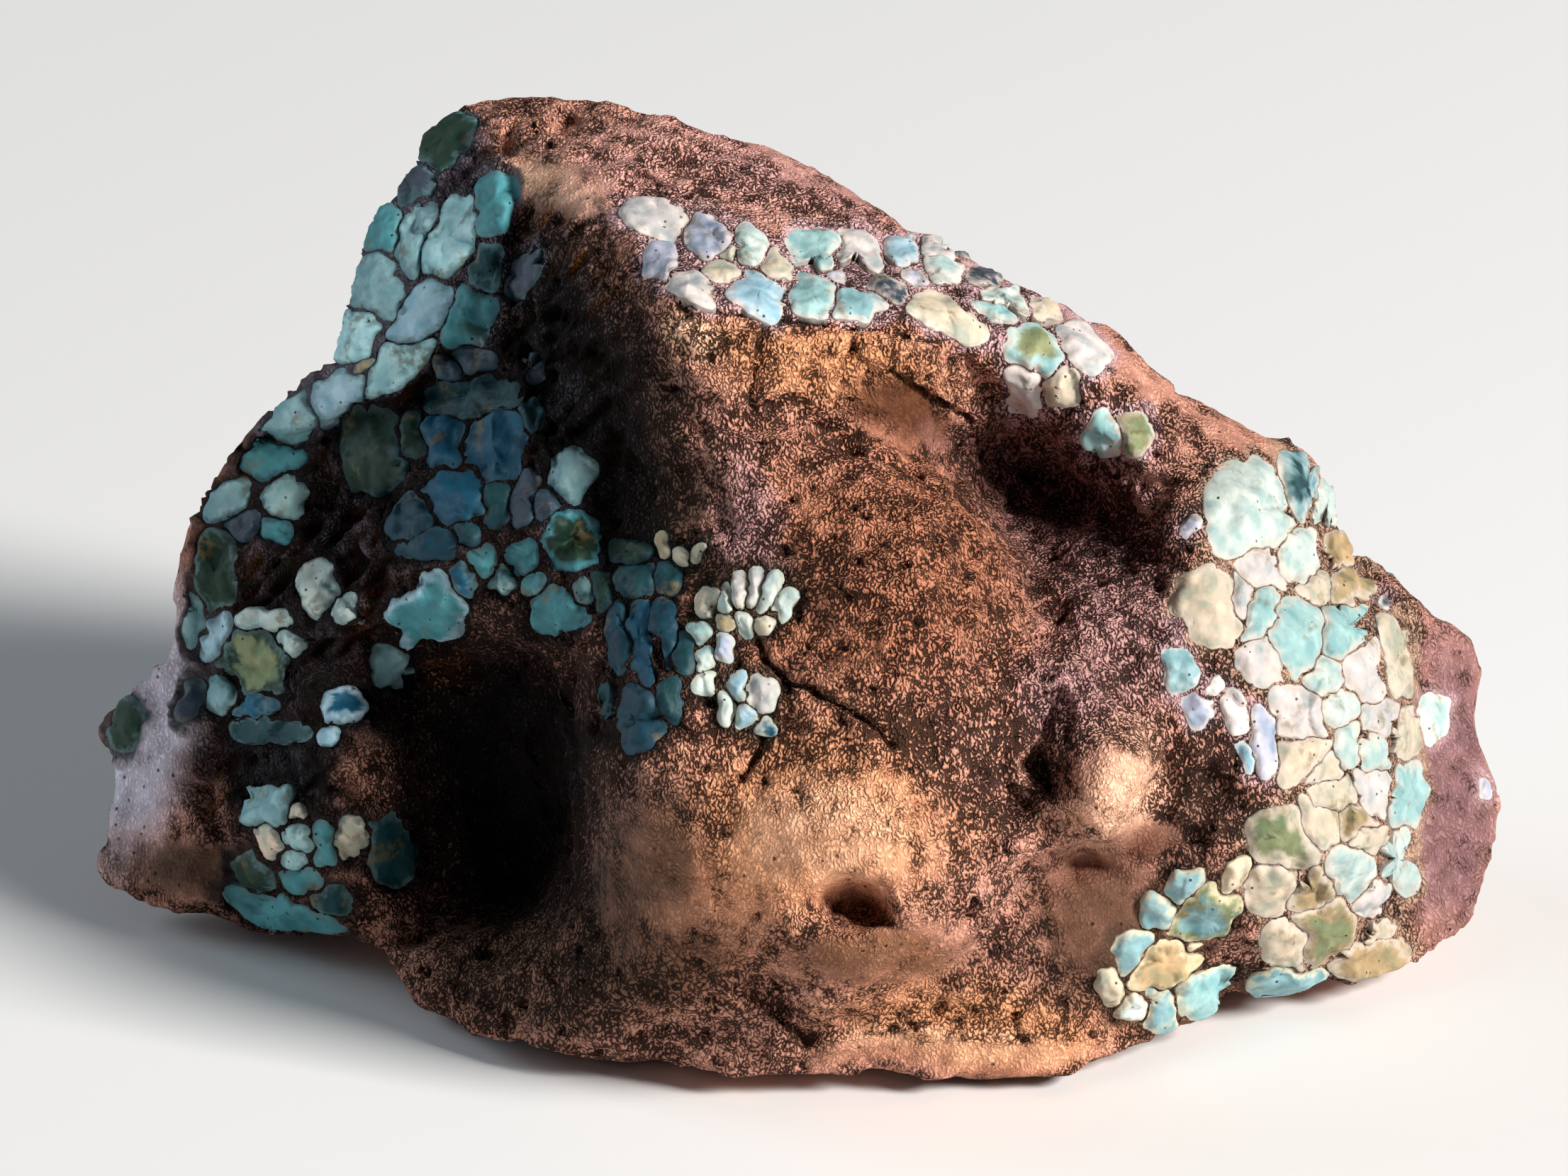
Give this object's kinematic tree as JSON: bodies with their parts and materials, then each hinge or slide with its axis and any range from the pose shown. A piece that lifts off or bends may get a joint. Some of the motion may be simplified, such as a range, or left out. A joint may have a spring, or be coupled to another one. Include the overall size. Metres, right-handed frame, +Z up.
{
  "type": "raw turquoise nugget",
  "caption": "Rough broken lump of brown host rock with pale blue-green turquoise nodules grown in it, lying on a flat break.",
  "frame": {"origin": "middle of the bounding box on the surface that the nugget lies on", "axes": "+Z up, +X along the nugget's length towards its lower, blunter end, -Y towards its broad front face"},
  "size_m": [0.07, 0.0484, 0.0404],
  "materials": {
    "turquoise_in_host_rock": "rough, grainy brown host rock with smooth waxy pale blue-green nodules"
  },
  "bodies": {
    "root": {"nugget": "turquoise_in_host_rock"}
  },
  "joints": []
}
